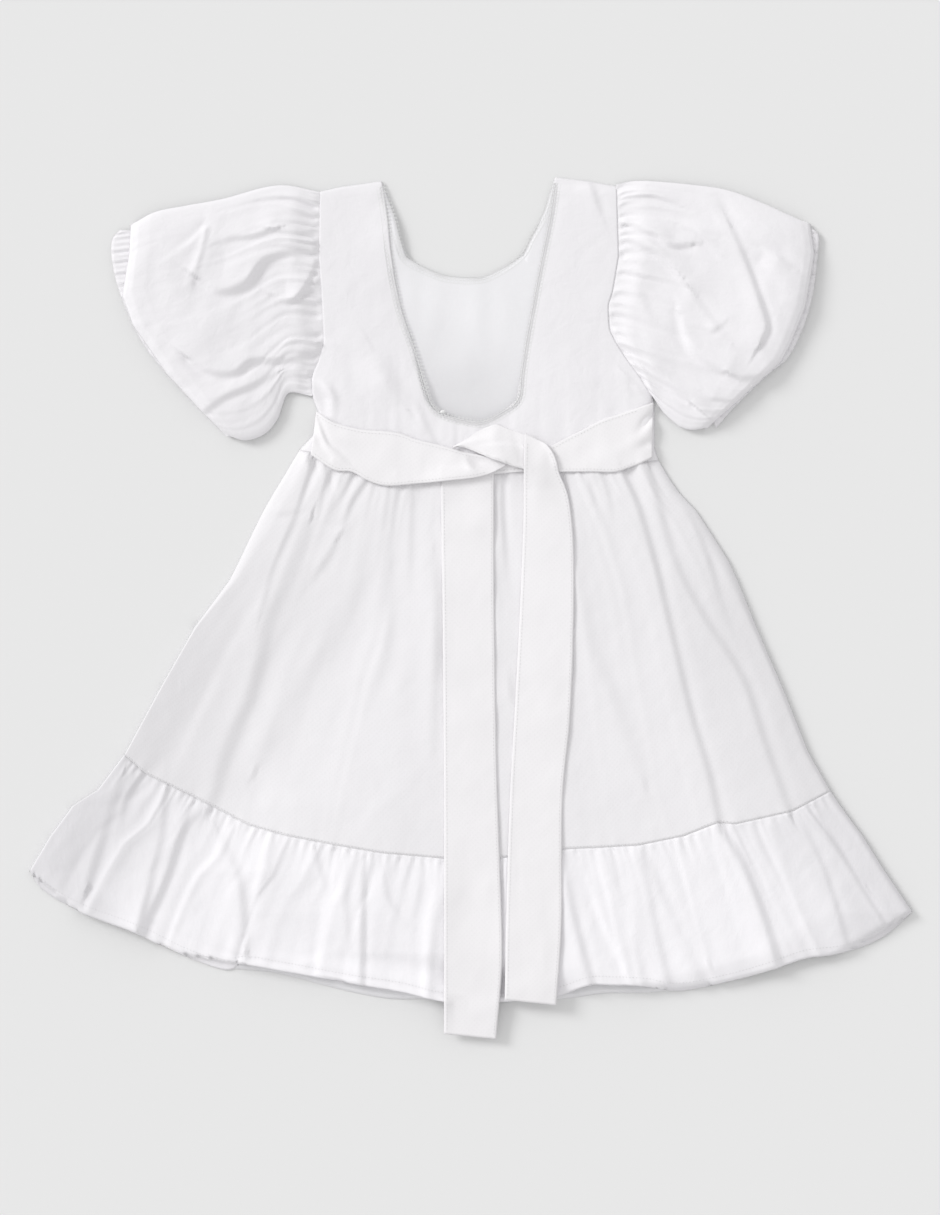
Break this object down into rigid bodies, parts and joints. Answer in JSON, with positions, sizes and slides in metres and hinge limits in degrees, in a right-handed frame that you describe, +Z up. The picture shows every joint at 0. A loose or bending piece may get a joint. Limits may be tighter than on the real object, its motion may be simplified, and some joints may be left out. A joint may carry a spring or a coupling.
{
  "type": "puff sleeve dress",
  "caption": "Girl's cotton dress laid flat with its back up, with gathered puff sleeves, lace neck edges, a tied sash, a gathered skirt and a hem ruffle.",
  "frame": {"origin": "on the resting surface, under the middle of the dress's bounding box", "axes": "+Z up out of the surface, towards the dress's back; +Y towards the neck; +X to the right for someone looking down on it"},
  "size_m": [0.671, 0.654, 0.0348],
  "materials": {
    "cotton_plain": "matt plain-weave white cotton",
    "cotton_figured": "matt white cotton with a small woven dot",
    "cotton_inside": "matt white cotton, wrong side",
    "lace": "matt white cotton openwork lace"
  },
  "bodies": {
    "root": {"front_bodice": "cotton_inside", "front_skirt": "cotton_inside", "front_ruffle": "cotton_inside", "neck_lace_front": "lace", "back_bodice": "cotton_plain", "back_skirt": "cotton_figured", "back_ruffle": "cotton_plain", "neck_lace_back": "lace", "sleeve_left": "cotton_plain", "sleeve_right": "cotton_plain", "cuff_left": "cotton_plain", "cuff_right": "cotton_plain", "sash_left": "cotton_figured", "sash_right": "cotton_figured", "sash_knot": "cotton_figured", "sash_tail_left": "cotton_figured", "sash_tail_right": "cotton_figured"}
  },
  "joints": []
}
